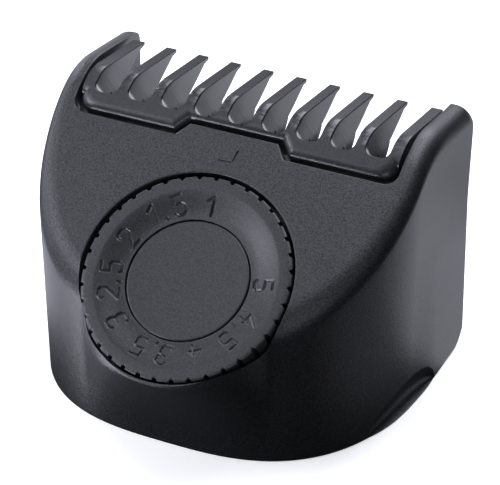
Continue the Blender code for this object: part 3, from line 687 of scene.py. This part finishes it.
def dish_height(radius):
    """Height of the wheel's top under its face, which is dished between the cap and the rim band."""
    cap, band = CAP_RADIUS + CAP_GAP, DIAL_RADIUS - RIM_BAND
    t = min(max((radius - cap) / (band - cap), 0), 1)
    return -DISH_DEPTH * (1 - 0.5 * t ** 1.6 - 0.5 * t * t * (3 - 2 * t)) if t < 1 else 0.0


# Strokes of each figure as (across, up), in units of its height
GLYPHS = {
    "1": [[(0.06, 0.70), (0.40, 1.0), (0.40, 0.0)]],
    "2": [[(0.0, 0.76), (0.0, 0.88), (0.13, 1.0), (0.47, 1.0), (0.6, 0.88), (0.6, 0.64), (0.0, 0.0),
           (0.62, 0.0)]],
    "3": [[(0.0, 0.88), (0.12, 1.0), (0.46, 1.0), (0.58, 0.89), (0.58, 0.64), (0.46, 0.53), (0.18, 0.53)],
          [(0.46, 0.53), (0.6, 0.42), (0.6, 0.12), (0.47, 0.0), (0.12, 0.0), (0.0, 0.12)]],
    "4": [[(0.34, 1.0), (0.0, 0.32), (0.62, 0.32)], [(0.44, 0.56), (0.44, 0.0)]],
    "5": [[(0.58, 1.0), (0.06, 1.0), (0.06, 0.57), (0.46, 0.57), (0.6, 0.45), (0.6, 0.12), (0.47, 0.0),
           (0.12, 0.0), (0.0, 0.12)]],
    ".": [[(0.0, 0.0), (0.0, 0.12)]],
}
# The figures round the wheel and their angles in degrees
LABELS = (("1", 92), ("1.5", 126.5), ("2", 161), ("2.5", 195), ("3", 227.5), ("3.5", 264.5), ("4", 297),
          ("4.5", 332), ("5", 370))
DIGIT_HEIGHT = 2.15 * MM
DIGIT_FOOT = 7.4 * MM  # distance from the wheel's axis to the figures' feet
DIGIT_WIDTH = 0.58  # of the height, as are the next two
DOT_WIDTH = 0.12
DIGIT_GAP = 0.34
GLYPH_WIDTH = 0.62  # of a figure as drawn above
STROKE_HALF = 0.19 * MM  # half the width of a stroke
STROKE_DEPTH = 0.17 * MM  # at its middle, from where it slopes up to both sides


def digit_strokes():
    """For each label, its angle and the segments of its strokes in the wheel's plane."""
    labels = []
    for label, angle in LABELS:
        widths = [DOT_WIDTH if c == "." else DIGIT_WIDTH for c in label]
        total = sum(widths) + DIGIT_GAP * (len(label) - 1)
        turn = math.radians(angle)
        out, along = Vector((math.cos(turn), math.sin(turn))), Vector((math.sin(turn), -math.cos(turn)))
        left = -total / 2
        segments = []
        for character, width in zip(label, widths):
            for stroke in GLYPHS[character]:
                line = [out * (DIGIT_FOOT + v * DIGIT_HEIGHT)
                        + along * ((left + u * width / GLYPH_WIDTH) * DIGIT_HEIGHT) for u, v in stroke]
                segments += zip(line, line[1:])
            left += width + DIGIT_GAP
        labels.append((turn, (total / 2 + 0.3) * DIGIT_HEIGHT / DIGIT_FOOT, segments))
    return labels


def engraved(x, y, segments):
    """Depth of the strokes at this point."""
    near = STROKE_HALF
    for a, b in segments:
        dx, dy = b.x - a.x, b.y - a.y
        t = ((x - a.x) * dx + (y - a.y) * dy) / (dx * dx + dy * dy)
        t = min(max(t, 0), 1)
        near = min(near, math.hypot(x - a.x - t * dx, y - a.y - t * dy))
    return STROKE_DEPTH * (1 - near / STROKE_HALF)


def wheel():
    """The numbered ring: dish, rim and hub, with the figures pressed into the dish."""
    r, cap = DIAL_RADIUS, CAP_RADIUS + CAP_GAP
    band = r - RIM_BAND
    web = -DISH_DEPTH - CAP_THICKNESS - CAP_GAP
    profile = [(0, web), (cap, web)]
    profile += [(cap + CAP_LIP * (1 - math.cos(t)), -DISH_DEPTH - CAP_LIP * (1 - math.sin(t)))
                for t in (0.5, 1.0, 1.5)]
    dish = [cap + (band - cap) * i / DISH_STEPS for i in range(2, DISH_STEPS)]
    profile += [(radius, dish_height(radius)) for radius in dish]
    profile += [(band + 0.05 * MM, -0.004 * MM), (band + 0.2 * MM, 0), (r - 0.75 * MM, 0),
                (r - 0.5 * MM, 0)]
    for i in range(1, 7):
        turn = math.pi / 2 * i / 6
        profile.append((r - RIM_EDGE * (1 - math.sin(turn)), -RIM_EDGE * (1 - math.cos(turn))))
    profile += [(r, -DIAL_DEPTH + 0.3 * MM), (r - 0.1 * MM, -DIAL_DEPTH + 0.1 * MM),
                (r - 0.35 * MM, -DIAL_DEPTH), (HUB_RADIUS, -DIAL_DEPTH), (HUB_RADIUS, -HUB_END),
                (SCREW_CLEAR, -HUB_END), (SCREW_CLEAR, -DIAL_DEPTH), (0, -DIAL_DEPTH)]
    mesh = revolve("wheel", profile, NOTCH_STEPS * NOTCHES, scallop)
    labels = digit_strokes()
    for vertex in mesh.vertices:
        x, y, z = vertex.co
        radius = math.hypot(x, y)
        if cap < radius < band and z > -DISH_DEPTH - 0.05 * MM:
            angle = math.atan2(y, x)
            for turn, reach, segments in labels:
                if abs((angle - turn + math.pi) % math.tau - math.pi) < reach:
                    vertex.co.z -= engraved(x, y, segments)
    return put("wheel_moulding", mesh, DIAL)


def wheel_cap():
    r, top, edge = CAP_RADIUS, -DISH_DEPTH, CAP_EDGE
    dish = [(r * t, top - CAP_DISH * (1 - t * t)) for t in (0, 0.15, 0.3, 0.45, 0.6, 0.75, 0.88, 0.95)]
    edges = [(r - edge * (1 - math.sin(t)), top - edge * (1 - math.cos(t)))
             for t in (0.0, 0.4, 0.8, 1.2, 1.57)]
    profile = [*dish, *edges, (r, top - CAP_THICKNESS), (0, top - CAP_THICKNESS)]
    return put("wheel_cap", revolve("cap", profile, 160), DIAL)


# ---------------------------------------------------------------- comb


def on_face(v, h):
    c, s = math.cos(FACE_TILT), math.sin(FACE_TILT)
    return v * c - h * s, v * s + h * c


def shoulder(drop, proud, radius, steps):
    """An arc from a line along the face, proud of it, to the horns' top line less the drop."""
    slope, fall = math.tan(FACE_TILT), math.tan(HORN_SLOPE)
    rise = proud / math.cos(FACE_TILT)
    y = (horn_line(0) - drop - rise) / (slope + fall)
    corner = (y, y * slope + rise)
    return fillet((0, rise), corner, (REAR_Y, horn_line(REAR_Y) - drop), radius, steps)


def comb_profile():
    """Side view of the comb as (y, z): base, shoulder, ridge line, tip and the teeth's lower edge."""
    points = [on_face(OPENING_LOW - MM, -COMB_BASE), on_face(OPENING_LOW - MM, COMB_PROUD)]
    points += shoulder(RIDGE_DROP, COMB_PROUD, RIDGE_RADIUS, SHOULDER_STEPS)
    tip = horn_line(TIP_Y) - RIDGE_DROP
    points += [(TIP_Y - 0.3 * MM, tip + 0.03 * MM), (TIP_Y, tip - 0.05 * MM),
               (TIP_Y - 0.1 * MM, tip - 0.4 * MM)]
    points += [(y * MM, z * MM) for y, z in TOOTH_UNDERSIDE]
    return points + [on_face(SLOT_ROOT + MM, -COMB_BASE)]


def tooth_web(x):
    """The foot along a tooth's lower edge, which flares towards its root."""
    rings = []
    wide = RIDGE / 2 - WEB_INSET
    for y, high, low, spread in TOOTH_FOOT:
        foot = wide + spread * MM
        y, high, low = y * MM, high * MM, low * MM
        rings.append([(x - wide, y, high), (x - foot, y, low + WEB_LIP), (x - foot + WEB_CHAMFER, y, low),
                      (x + foot - WEB_CHAMFER, y, low), (x + foot, y, low + WEB_LIP), (x + wide, y, high)])
    return loft("web", rings)


def ridge_line():
    """The ridges' top line as (distance up the face, height off the face), front to back."""
    c, sn = math.cos(FACE_TILT), math.sin(FACE_TILT)
    line = [(0, COMB_PROUD)]
    for y, z in shoulder(RIDGE_DROP, COMB_PROUD, RIDGE_RADIUS, SHOULDER_STEPS):
        line.append((y * c + z * sn, z * c - y * sn))
    y, z = REAR_Y + 6 * MM, horn_line(REAR_Y + 6 * MM) - RIDGE_DROP
    return line + [(y * c + z * sn, z * c - y * sn)]


def ridge_height(v):
    """Height of the ridges' top line at this distance up the face."""
    line = ridge_line()
    for (v0, h0), (v1, h1) in zip(line, line[1:]):
        if v <= v1:
            return h0 + (h1 - h0) * (v - v0) / (v1 - v0)
    return line[-1][1]


def slot_cutter(x):
    """The space between two teeth, which rounds the edges of both as it opens upwards."""
    side, end = (PITCH - RIDGE) / 2, ridge_line()[-1][0]
    root = fillet((-side, SKY), (-side, SLOT_ROOT), (0, SLOT_ROOT), SLOT_RADIUS, ROOT_STEPS)
    first = root[0].y
    run = [(-side, end + (first - end) * i / SLOT_STATIONS) for i in range(SLOT_STATIONS)]
    half = [*run, *[tuple(p) for p in root]]
    line = half + [(-px, py) for px, py in reversed(half)]
    outs = []
    for i, p in enumerate(line):
        before, after = Vector(line[max(i - 1, 0)]), Vector(line[min(i + 1, len(line) - 1)])
        along = (after - before).normalized()
        outs.append(Vector((along.y, -along.x)))
    rings = [[(x + px, py, -SKY / 2) for px, py in line]]
    for i in range(SLOT_LEVELS + 1):
        turn = RIDGE_SWEEP * i / SLOT_LEVELS
        back = RIDGE_EDGE * (1 - math.cos(turn))
        drop = 1.2 * RIDGE_EDGE * (1 - 1.15 * math.sin(turn))
        rings.append([(x + px + o.x * back, py + o.y * back, ridge_height(py + o.y * back) - drop)
                      for (px, py), o in zip(line, outs)])
    rings.append([(x + px + o.x * RIDGE_EDGE, py + o.y * RIDGE_EDGE, SKY / 2)
                  for (px, py), o in zip(line, outs)])
    return loft("slot", rings)


def comb():
    half = OPENING_HALF - COMB_CLEARANCE
    body = put("comb_moulding", prism("comb", comb_profile(), -half, half), SIDE)
    levels = [(0, -SKY), (0, -FLANGE_DROP)]
    for i in range(1, FLANGE_STEPS + 1):
        turn = FLANGE_SWEEP * i / FLANGE_STEPS
        levels.append((FLANGE_ROUND * (1 - math.cos(turn)),
                       -FLANGE_DROP + (FLANGE_DROP + COMB_PROUD) * math.sin(turn)))
    levels.append((FLANGE_ROUND, SKY))
    front = loft("front", [[(*p, h) for p in below_opening(COMB_CLEARANCE + back)] for back, h in levels])
    tools = [cut(put("front", front, FACE))]
    tools += [cut(put("slot", slot_cutter((i - TEETH / 2 + 1) * PITCH), FACE)) for i in range(TEETH - 1)]
    carve(body, tools)
    webs = [join(put("web", tooth_web((i - TEETH / 2 + 0.5) * PITCH), STAND)) for i in range(TEETH)]
    return carve(body, webs)


# ---------------------------------------------------------------- materials


def shader_of(name, colour, roughness, metallic=0.0):
    material = bpy.data.materials.new(name)
    material.use_nodes = True
    tree = material.node_tree
    shader = tree.nodes["Principled BSDF"]
    shader.inputs["Base Color"].default_value = (*colour, 1)
    shader.inputs["Roughness"].default_value = roughness
    shader.inputs["Metallic"].default_value = metallic
    shader.inputs["IOR"].default_value = 1.5
    return material, tree, shader


def node(tree, kind, **inputs):
    made = tree.nodes.new(kind)
    for name, value in inputs.items():
        made.inputs[name].default_value = value
    return made


def noise(tree, coordinates, scale, detail=2.0, rough=0.5):
    made = node(tree, "ShaderNodeTexNoise", Scale=scale, Detail=detail, Roughness=rough)
    tree.links.new(coordinates, made.inputs["Vector"])
    return made.outputs["Fac"]


def ramp(tree, source, low, high, at=(0.3, 0.7)):
    made = tree.nodes.new("ShaderNodeMapRange")
    tree.links.new(source, made.inputs["Value"])
    made.inputs["From Min"].default_value, made.inputs["From Max"].default_value = at
    made.inputs["To Min"].default_value, made.inputs["To Max"].default_value = low, high
    return made.outputs["Result"]


def mix_colour(tree, factor, first, second):
    made = tree.nodes.new("ShaderNodeMix")
    made.data_type = "RGBA"
    tree.links.new(factor, made.inputs["Factor"])
    made.inputs[6].default_value = (*first, 1)
    made.inputs[7].default_value = (*second, 1)
    return made.outputs[2]


def tinted(tree, factor, colour, low, high):
    """The colour, darker or lighter by a factor that runs from low to high."""
    scale = tree.nodes.new("ShaderNodeVectorMath")
    scale.operation = "SCALE"
    tree.links.new(colour, scale.inputs[0])
    tree.links.new(ramp(tree, factor, low, high, (0, 1)), scale.inputs["Scale"])
    return scale.outputs["Vector"]


def bump(tree, shader, height, distance):
    made = node(tree, "ShaderNodeBump", Strength=1.0, Distance=distance)
    tree.links.new(height, made.inputs["Height"])
    tree.links.new(made.outputs["Normal"], shader.inputs["Normal"])


def rubbed_edges(tree):
    """Where a rounded normal leaves the surface's own, from 0 on the flat to 1 at an outer edge."""
    rounded = tree.nodes.new("ShaderNodeBevel")
    rounded.samples = 4
    rounded.inputs["Radius"].default_value = WEAR_REACH
    own = tree.nodes.new("ShaderNodeNewGeometry").outputs["Normal"]
    match = tree.nodes.new("ShaderNodeVectorMath")
    match.operation = "DOT_PRODUCT"
    tree.links.new(rounded.outputs["Normal"], match.inputs[0])
    tree.links.new(own, match.inputs[1])
    return ramp(tree, match.outputs["Value"], 1.0, 0.0, (0.75, 0.97))


def moulded(name, colour, roughness, grain, relief, sparkle,
            spread=0.06, swirl=0.12, speckle=0.2, wear=0.5):
    """Moulded plastic: fine eroded grain, faint colour drift, and edges rubbed smoother and paler."""
    material, tree, shader = shader_of(name, colour, roughness)
    place = tree.nodes.new("ShaderNodeTexCoord").outputs["Object"]
    fine = noise(tree, place, 1 / grain, 2.0, 0.55)
    coarse = noise(tree, place, 1 / (14 * MM), 2.0)
    worn = rubbed_edges(tree)
    lighter = tuple(c * (1 + swirl) for c in colour)
    darker = tuple(c * (1 - swirl) for c in colour)
    drift = mix_colour(tree, coarse, darker, lighter)
    grained = tinted(tree, ramp(tree, fine, 0.0, 1.0), drift, 1 - speckle, 1 + speckle)
    tree.links.new(tinted(tree, worn, grained, 1.0, 1 + wear), shader.inputs["Base Color"])
    rough = tree.nodes.new("ShaderNodeMath")
    rough.operation = "ADD"
    tree.links.new(ramp(tree, fine, roughness - spread, roughness + spread), rough.inputs[0])
    tree.links.new(ramp(tree, worn, 0.0, -WEAR_POLISH, (0, 1)), rough.inputs[1])
    tree.links.new(rough.outputs[0], shader.inputs["Roughness"])
    tree.links.new(ramp(tree, fine, 0.5 - sparkle, 0.5 + sparkle), shader.inputs["Specular IOR Level"])
    bump(tree, shader, fine, relief)
    return material


def steel(name, colour, roughness):
    """Plated steel with faint drawn lines."""
    material, tree, shader = shader_of(name, colour, roughness, metallic=1.0)
    place = tree.nodes.new("ShaderNodeTexCoord").outputs["Object"]
    stretch = tree.nodes.new("ShaderNodeMapping")
    stretch.inputs["Scale"].default_value = (1, 8, 8)
    tree.links.new(place, stretch.inputs["Vector"])
    lines = noise(tree, stretch.outputs["Vector"], 1 / (1.2 * MM), 4.0, 0.7)
    tree.links.new(ramp(tree, lines, roughness - 0.08, roughness + 0.12), shader.inputs["Roughness"])
    bump(tree, shader, lines, 0.004 * MM)
    return material


# ---------------------------------------------------------------- stage


COOL = (0.93, 0.945, 1.07)
PAINT = (0.85, 0.85, 0.85)
OVERHEAD_HEIGHT = 0.125
OVERHEAD_SIZE = 0.06
DISTANT_REACH = 0.35
DISTANT_AIM = 0.018
FLOOR_BOTTOM = -0.004
FLOOR_TOP = -0.00002  # just under the part's rim
FLOOR_RADIUS = 1.6
SURROUND = ((1.55, -0.01), (1.55, 0.9), (1.2, 1.25), (0, 1.4),
            (0, 1.45), (1.25, 1.3), (1.6, 0.95), (1.6, -0.01))
OVERHEAD = (  # soft boxes above: name, x, y, watts
    ("over_right", 0.025, 0.015, 0.0754),
    ("over_middle", -0.035, 0.015, 0.0164),
    ("over_front", -0.035, -0.045, 0.0065),
    ("over_left_front", -0.155, -0.105, 0.21),
    ("over_left_back", -0.155, 0.075, 0.184),
)
DISTANT = (  # soft boxes round the set: name, heading, elevation, size, watts
    ("back_box", 180, 42, 0.22, 0.905),
    ("front_box", 315, 42, 0.22, 0.306),
    ("left_box", 270, 12, 0.2, 0.36),
    ("left_back_box", 225, 12, 0.2, 0.201),
    ("crease_box", 20, 20, 0.06, 0.12),
)
FLOOR_GLOW = (  # lamps that shine up through the floor: name, heading, distance, size, watts
    ("glow_front", 330, 0.1, 0.06, 0.25),
    ("glow_back", 180, 0.13, 0.09, 0.0911),
    ("glow_back_near", 180, 0.085, 0.05, 0.015),
    ("glow_right_back", 135, 0.085, 0.05, 0.0108),
    ("glow_left_front", 315, 0.05, 0.035, 0.0185),
    ("glow_left", 270, 0.05, 0.035, 0.0055),
    ("glow_right_near", 135, 0.05, 0.035, 0.0042),
    ("glow_right", 90, 0.05, 0.035, 0.0017),
)


def area_light(name, at, target, size, power):
    data = bpy.data.lights.new(name, "AREA")
    data.shape = "SQUARE"
    data.size = size
    data.energy = power
    data.color = COOL
    lamp = bpy.data.objects.new(name, data)
    bpy.context.scene.collection.objects.link(lamp)
    lamp.location = at
    lamp.rotation_mode = "QUATERNION"
    lamp.rotation_quaternion = (Vector(target) - Vector(at)).to_track_quat("-Z", "Y")
    lamp.visible_camera = False


def pale(name, colour, glow):
    material, _, shader = shader_of(name, colour, 0.8)
    shader.inputs["Emission Color"].default_value = (1, 1, 1, 1)
    shader.inputs["Emission Strength"].default_value = glow
    return material


def stage():
    """A pale floor inside a pale surround, neither of which lights the part, and the lamps."""
    floor = put("floor", prism("floor", circle(FLOOR_RADIUS, 96), FLOOR_BOTTOM, FLOOR_TOP))
    floor.data.materials.append(pale("floor_paint", PAINT, 0.55))
    dome = put("surround", revolve("surround", SURROUND, 96))
    dome.data.shade_smooth()
    dome.data.materials.append(pale("surround_paint", PAINT, 0.6))
    for piece in (floor, dome):
        piece.visible_glossy = False
        piece.visible_shadow = False
        piece.visible_diffuse = False

    world = bpy.data.worlds.new("studio")
    bpy.context.scene.world = world
    world.use_nodes = True
    background = world.node_tree.nodes["Background"]
    background.inputs["Color"].default_value = (0.9, 0.95, 1, 1)
    background.inputs["Strength"].default_value = 0.04

    for name, x, y, power in OVERHEAD:
        area_light(name, (x, y, OVERHEAD_HEIGHT), (x, y, 0), OVERHEAD_SIZE, power)
    for name, heading, elevation, size, power in DISTANT:
        turn, lift = math.radians(heading), math.radians(elevation)
        flat = DISTANT_REACH * math.cos(lift)
        at = (flat * math.sin(turn), -flat * math.cos(turn), DISTANT_AIM + DISTANT_REACH * math.sin(lift))
        area_light(name, at, (0, 0, DISTANT_AIM), size, power)
    for name, heading, reach, size, power in FLOOR_GLOW:
        turn = math.radians(heading)
        x, y = reach * math.sin(turn), -reach * math.cos(turn)
        area_light(name, (x, y, FLOOR_BOTTOM), (x, y, 1), size, power)


# The camera, about 25 degrees round to the right and 32 degrees up
CAMERA_LENS = 187.2
CAMERA_BACK = Vector((0.3565, -0.7680, 0.5321)).normalized()
CAMERA_RIGHT = Vector((0.9070, 0.4210, 0)).normalized()
CAMERA_ROLL = math.radians(0.35)
CAMERA_TARGET = ORIGIN - Vector((0, -0.46, 0.59)) * MM
CAMERA_PLACE = (273.4, 7.204, 3.808)  # mm back, across and up from the target


def camera():
    back, right, roll = CAMERA_BACK, CAMERA_RIGHT, CAMERA_ROLL
    up = back.cross(right)
    across = right * math.cos(roll) + up * math.sin(roll)
    upward = up * math.cos(roll) - right * math.sin(roll)
    data = bpy.data.cameras.new("camera")
    data.sensor_width = 36
    data.lens = CAMERA_LENS
    data.clip_start = 0.01
    data.clip_end = 10
    view = bpy.data.objects.new("camera", data)
    bpy.context.scene.collection.objects.link(view)
    turn = Matrix((across, upward, back)).transposed().to_4x4()
    away, aside, above = CAMERA_PLACE
    place = (back * away + across * aside + upward * above) * MM + CAMERA_TARGET
    view.matrix_world = Matrix.Translation(place) @ turn
    bpy.context.scene.camera = view


# ---------------------------------------------------------------- the object

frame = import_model()
nodes = frame["nodes"]

bpy.context.scene.view_settings.view_transform = "Standard"

charcoal = moulded("charcoal_grained", (0.0115, 0.0117, 0.0135), roughness=0.42,
                   grain=0.17 * MM, relief=0.035 * MM, sparkle=0.24)
satin = moulded("charcoal_satin", (0.013, 0.0132, 0.015), roughness=0.33,
                grain=0.3 * MM, relief=0.006 * MM, sparkle=0.05, spread=0.04)
turned = moulded("charcoal_wheel", (0.0115, 0.0118, 0.0135), roughness=0.38,
                 grain=0.2 * MM, relief=0.014 * MM, sparkle=0.12, spread=0.05)
black = moulded("black_nylon", (0.008, 0.008, 0.009), roughness=0.5,
                grain=0.3 * MM, relief=0.01 * MM, sparkle=0.1)
acetal = moulded("natural_acetal", (0.55, 0.53, 0.48), roughness=0.38,
                 grain=0.3 * MM, relief=0.004 * MM, sparkle=0.05,
                 spread=0.05, swirl=0.04, speckle=0.03, wear=0.1)
bright = steel("spring_steel", (0.55, 0.55, 0.57), 0.28)
zinc = steel("zinc_steel", (0.45, 0.46, 0.48), 0.34)

shell = settle(housing(), charcoal, "housing", ["housing_shell"])
flatten(shell, FACE.to_3x3() @ Vector((0, 0, 1)))
settle(wheel(), turned, "dial", ["dial_ring"])
settle(wheel_cap(), turned, "dial", ["dial_cap"])
settle(comb(), satin, "comb", ["comb"])

FINISHES = {
    "chassis_plate": black,
    "dial_bush": acetal,
    "detent_spring": bright,
    "detent_rivet": zinc,
    "latch_clip_left": acetal,
    "latch_clip_right": acetal,
    "wave_washer": bright,
    "detent_wheel": acetal,
    "dial_screw": zinc,
    "comb_slider": acetal,
    "follower_pin": bright,
    "comb_screw_left": zinc,
    "comb_screw_right": zinc,
}
for i in range(4):
    FINISHES[f"chassis_screw_{i + 1}"] = zinc
for name, material in FINISHES.items():
    nodes[name].data.materials.clear()
    nodes[name].data.materials.append(material)
    soften(nodes[name], NODE_EDGE)

stage()
camera()
